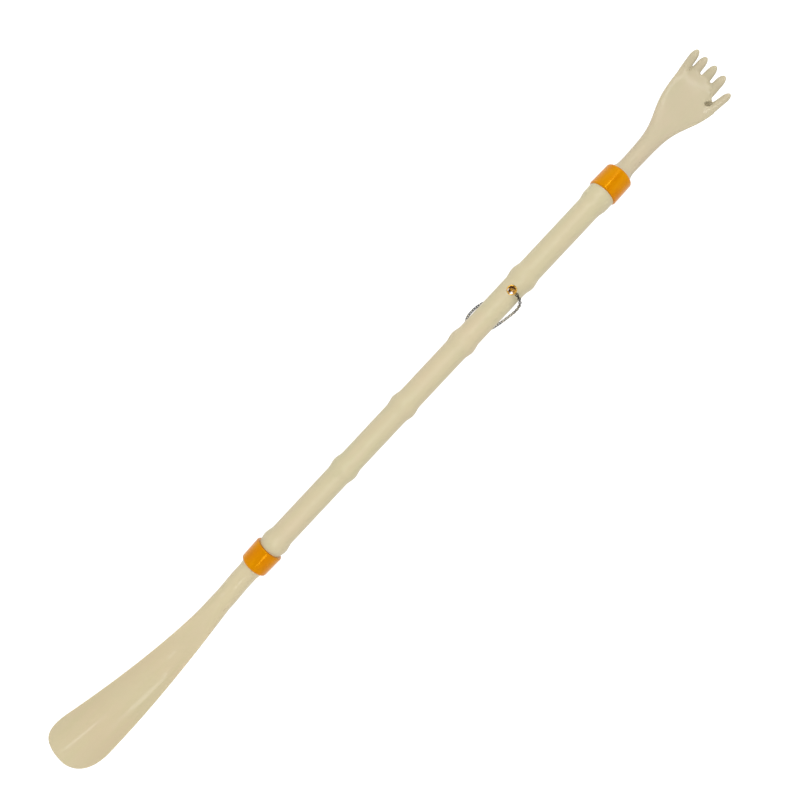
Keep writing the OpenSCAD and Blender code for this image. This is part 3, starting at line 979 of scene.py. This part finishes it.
@dataclass
class Blade:
    """The shoehorn blade: a round neck that flattens into a dish with a round end. Each span gives
    the shares of its length between which a change takes place, and b is the distance from the
    collar's far face."""

    material: Material
    length: float = 174.5
    skin_from: float = 7.0
    neck_r: float = 6.5
    neck_lean: float = 0.7
    lean_span: Pair = (0.05, 0.155)
    left_spread: float = 22.5
    left_from: float = 40.0
    left_power: float = 1.56
    right_spread: float = 7.3
    right_from: float = 29.0
    right_full: float = 136.4
    dish_ratio: float = 0.48
    dish_span: Pair = (0.14, 0.49)
    thickness: float = 3.0
    thin_span: Pair = (0.09, 0.42)
    floor_drop: float = Collar.radius
    drop_span: Pair = (0.08, 0.52)
    round_end: float = 31.7
    tip_offset: float = 5.1
    last: float = 0.9985
    edge_round: float = 1.4
    edge_blunt: float = 1.02
    rows: int = 130
    tip_rows: int = 60
    cols: int = 128
    sharp_deg: float = 60.0

    def edges(self, b: Array) -> tuple[Array, Array]:
        """How far the edges lie from the axis before the end is rounded: a power left, a sine right.

        Args:
            b: places along the blade.

        Returns:
            The distances of the left and of the right edge.
        """
        lean = self.neck_lean * step(b / self.length, self.lean_span)
        left_v = np.clip((b - self.left_from) / (self.length - self.left_from), 0, 1)
        right_v = np.clip((b - self.right_from) / (self.right_full - self.right_from), 0, 1)
        left = self.neck_r - lean + self.left_spread * left_v**self.left_power
        right = self.neck_r + lean + (self.right_spread - self.neck_lean) * np.sin(np.pi / 2 * right_v)
        return left, right

    def grid(self) -> Array:
        """Sections from the spigot's end to the tip, which turn from round to dished ovals.

        Returns:
            The grid of points, measured from the collar's far face.
        """
        root_x, root_r = Spigot().profile(self.neck_r)
        round_from, last = self.length - self.round_end, self.length * self.last
        even = np.linspace(self.skin_from, round_from, self.rows)
        closing = np.sin(np.linspace(0, np.pi / 2, self.tip_rows)[1:])
        b = np.concatenate([even, mix(round_from, last, closing)])
        left, right = self.edges(b)
        half = mix(self.neck_r, self.thickness / 2, step(b / self.length, self.thin_span))
        z_low = mix(0, half - self.floor_drop, step(b / self.length, self.drop_span))
        bend = 2 * self.dish_ratio * step(b / self.length, self.dish_span) / (left + right)
        tip = rounded_end(b - last + self.edge_round, self.edge_round * self.edge_blunt)
        shrink = rounded_end(b - round_from, self.round_end)
        low_edge, high_edge = -mix(self.tip_offset, left, shrink), mix(-self.tip_offset, right, shrink)
        flat = np.zeros_like(root_x)
        return np.concatenate([
            dished(root_x, -root_r, root_r, flat, flat, flat, root_r, self.cols),
            dished(b, low_edge, high_edge, (right - left) / 2, z_low, bend, half * tip, self.cols)])

    def build(self) -> Object:
        """Skins the sections, turns them to the blade's end of the handle and dresses the blade.

        Returns:
            The blade.
        """
        shell = Shell.of_grid(self.grid())
        turned_about = (shell.points + np.array([COLLAR_FACE, 0, 0])) * np.array([-1, -1, 1])
        piece = shell.moved(turned_about).to_object("blade", self.sharp_deg)
        return finished(piece, self.material, "shoehorn_blade")


@dataclass
class Eyelet:
    """A brass eyelet: a barrel in the cross hole and a rolled flange on its seat. It stands for a
    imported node, on side 1 above or -1 underneath."""

    name: str
    node: str
    side: int
    material: Material
    bore_r: float = 2.3
    wall: float = 0.35
    barrel_end: float = 0.05
    barrel_round: float = 0.06
    flange_r: float = 2.9
    flange_t: float = 0.4
    mouth_round: float = 0.3
    rim_round: float = 0.22
    seat_z: float = Handle.seat_z
    seat_round: float = 0.12
    neck_round: float = 0.05
    arc_steps: int = 10
    cols: int = 96
    sharp_deg: float = 50.0

    def build(self) -> Object:
        """Turns the eyelet about the cross hole and dresses it.

        Returns:
            The eyelet.
        """
        top, outer = self.seat_z + self.flange_t, self.bore_r + self.wall
        profile = filleted([
            (self.barrel_end, self.bore_r, self.barrel_round), (top, self.bore_r, self.mouth_round),
            (top, self.flange_r, self.rim_round), (self.seat_z, self.flange_r, self.seat_round),
            (self.seat_z, outer, self.neck_round), (self.barrel_end, outer, self.barrel_round)],
            self.arc_steps)
        ring = turned(profile, self.cols)
        x, y, z = ring.points.T
        shell = ring.moved(np.stack([y + EYELET_X, z * self.side, x * self.side], 1))
        piece = shell.to_object(self.name, self.sharp_deg)
        return finished(piece, self.material, self.node)


@dataclass
class Chain:
    """The hanging chain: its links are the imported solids, which keep their places and get a finish."""

    material: Material
    prefix: str = "chain_run_"
    joining: str = "joining_link"

    def build(self) -> list[Object]:
        """Gives every link its finish.

        Returns:
            The links, in runs.
        """
        nodes = sorted(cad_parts.items())
        links = [o for name, o in nodes if name.startswith(self.prefix) or name == self.joining]
        for link in links:
            link.data.materials.clear()
            link.data.materials.append(self.material)
        return links


# Studio


@dataclass(frozen=True)
class Lamp:
    """A flat lamp that shines straight down: the place of its middle along and across the handle, its
    length and width, the turn of its length away from the handle in degrees, and how bright its face
    is, where white paper is 1."""

    name: str
    x: float
    y: float
    length: float
    width: float
    slant: float
    radiance: float

    def build(self, height: float) -> None:
        """Hangs the lamp above the part.

        Args:
            height: its height above the handle's middle.
        """
        data = bpy.data.lights.new(self.name, "AREA")
        data.shape = "RECTANGLE"
        data.size, data.size_y = self.length * MM, self.width * MM
        data.energy = self.radiance * math.pi * data.size * data.size_y
        made = bpy.data.objects.new(self.name, data)
        bpy.context.scene.collection.objects.link(made)
        place = Vector((HANDLE_AT + np.array([self.x, self.y, height])) * MM)
        made.matrix_world = Matrix.Translation(place) @ Matrix.Rotation(math.radians(self.slant), 4, "Z")


@dataclass
class Studio:
    """Floor, light and camera of a plain white product photograph, in millimetres from the handle's
    middle. The ring of light is given by its angles from straight up, in degrees."""

    camera_at: tuple[float, float, float] = (-1.3, 3.65, 405.2)
    tilt_deg: float = 3.17
    right_share: Pair = (0.68323, 0.73020)
    lens: float = 31.5
    sensor: float = 36.0
    clip_m: Pair = (0.01, 20.0)
    floor_size: float = 6000.0
    floor_gap: float = 0.05
    floor_grey: float = 0.2
    paper_mm: float = 40.0
    paper_glow: Pair = (0.98, 1.0)
    ring: float = 1.22
    zenith: float = 0.1
    horizon: float = 1.05
    ring_starts: Pair = (66.0, 57.0)
    ring_ends: Pair = (34.0, 27.0)
    lean: tuple[float, float, float] = (0.04, 0.0, 0.0)
    lamp_height: float = 1000.0
    lamps: tuple[Lamp, ...] = (
        Lamp("overhead_tube", 0.0, 0.0, 1380.0, 130.0, 29.0, 16.5),
        Lamp("hand_softbox", 950.0, 526.0, 700.0, 500.0, 29.0, 2.6),
        Lamp("blade_strip_right", -1060.0, 900.0, 500.0, 70.0, 105.0, 6.0),
        Lamp("blade_strip_left", -1085.0, -100.0, 110.0, 130.0, 0.0, 6.0))

    def camera(self) -> None:
        """Camera above the handle, tilted a little along it and rolled to put the hand upper right."""
        data = bpy.data.cameras.new("camera")
        data.lens, data.sensor_width = self.lens, self.sensor
        data.clip_start, data.clip_end = self.clip_m
        made = bpy.data.objects.new("camera", data)
        bpy.context.scene.collection.objects.link(made)
        tilt = math.radians(self.tilt_deg)
        along, across = np.array([math.cos(tilt), 0, -math.sin(tilt)]), np.array([0, -1.0, 0])
        a, b = self.right_share
        right, up = a * along + b * across, b * along - a * across
        matrix = np.eye(4)
        matrix[:3] = np.stack([right, up, np.cross(right, up), (HANDLE_AT + self.camera_at) * MM], 1)
        made.matrix_world = Matrix(matrix.tolist())
        bpy.context.scene.camera = made

    def floor(self) -> None:
        """A floor of white paper just under the part, bright enough to stay white."""
        half, z = self.floor_size / 2 * MM, -self.floor_gap * MM
        mesh = bpy.data.meshes.new("floor")
        corners = [(-half, -half, z), (half, -half, z), (half, half, z), (-half, half, z)]
        mesh.from_pydata(corners, [], [(0, 1, 2, 3)])
        made = bpy.data.objects.new("floor", mesh)
        bpy.context.scene.collection.objects.link(made)
        material = bpy.data.materials.new("white_paper_floor")
        tree = empty_tree(material)
        place = add(tree, "ShaderNodeTexCoord").outputs["Object"]
        grain = add(tree, "ShaderNodeTexNoise", {"Vector": place, "Scale": per_metre(self.paper_mm)})
        low, high = self.paper_glow
        tone = add(tree, "ShaderNodeMapRange", {"Value": grain, "To Min": low, "To Max": high})
        shader = add(tree, "ShaderNodeBsdfPrincipled", {
            "Base Color": (*[self.floor_grey] * 3, 1.0), "Roughness": 1.0, "Specular IOR Level": 0.0,
            "Emission Color": tone, "Emission Strength": 1.0})
        add(tree, "ShaderNodeOutputMaterial", {"Surface": shader})
        mesh.materials.append(material)

    def light(self) -> None:
        """A ring of soft light half way up the sky, dark above the camera, and the lamps.

        The tube's image runs along the collars and the strips' images along the blade.
        """
        world = bpy.data.worlds.new("light_tent")
        bpy.context.scene.world = world
        tree = empty_tree(world)
        towards = add(tree, "ShaderNodeTexCoord").outputs["Generated"]
        height = add(tree, "ShaderNodeSeparateXYZ", {"Vector": towards}).outputs["Z"]
        starts, ends = np.cos(np.radians([self.ring_starts, self.ring_ends])).tolist()
        spans = ((height, *starts, self.horizon, self.ring), (height, *ends, 1.0, self.zenith / self.ring))
        rise, fall = (add(tree, "ShaderNodeMapRange", dict(enumerate(span)), **SOFT_SPAN) for span in spans)
        side = add(tree, "ShaderNodeVectorMath", {0: towards, 1: self.lean}, operation="DOT_PRODUCT")
        ring = add(tree, "ShaderNodeMath", {0: rise, 1: fall}, operation="MULTIPLY")
        strength = add(tree, "ShaderNodeMath", {0: ring, 1: side.outputs["Value"], 2: ring},
                       operation="MULTIPLY_ADD")
        sky = add(tree, "ShaderNodeBackground", {"Color": (1.0, 1.0, 1.0, 1.0), "Strength": strength})
        add(tree, "ShaderNodeOutputWorld", {"Surface": sky})
        for lamp in self.lamps:
            lamp.build(self.lamp_height)
        settings = bpy.context.scene.view_settings
        settings.view_transform, settings.look = "Standard", "None"

    def build(self) -> None:
        """Sets up camera, floor and light."""
        self.camera()
        self.floor()
        self.light()


def main() -> None:
    """Builds the studio and every piece in order, and reports each piece."""
    Studio().build()
    LOG.info("studio: camera, floor and lights")
    orange, brass = ORANGE_ABS.make(), EYELET_BRASS.make()
    pieces = [
        Handle(IVORY_HANDLE.make()).build(),
        Collar("collar_at_hand", "hand_collar", 1, orange).build(),
        Collar("collar_at_blade", "blade_collar", -1, orange).build(),
        Hand(IVORY_HAND.make()).build(),
        Blade(IVORY_BLADE.make()).build(),
        Eyelet("eyelet_front", "front_eyelet", 1, brass).build(),
        Eyelet("eyelet_rear", "rear_eyelet", -1, brass).build(),
        *Chain(CHAIN_NICKEL.make()).build()]
    for piece in pieces:
        mesh = piece.data
        LOG.info("%s: %d points, %s", piece.name, len(mesh.vertices), mesh.materials[0].name)


if __name__ == "__main__":
    main()
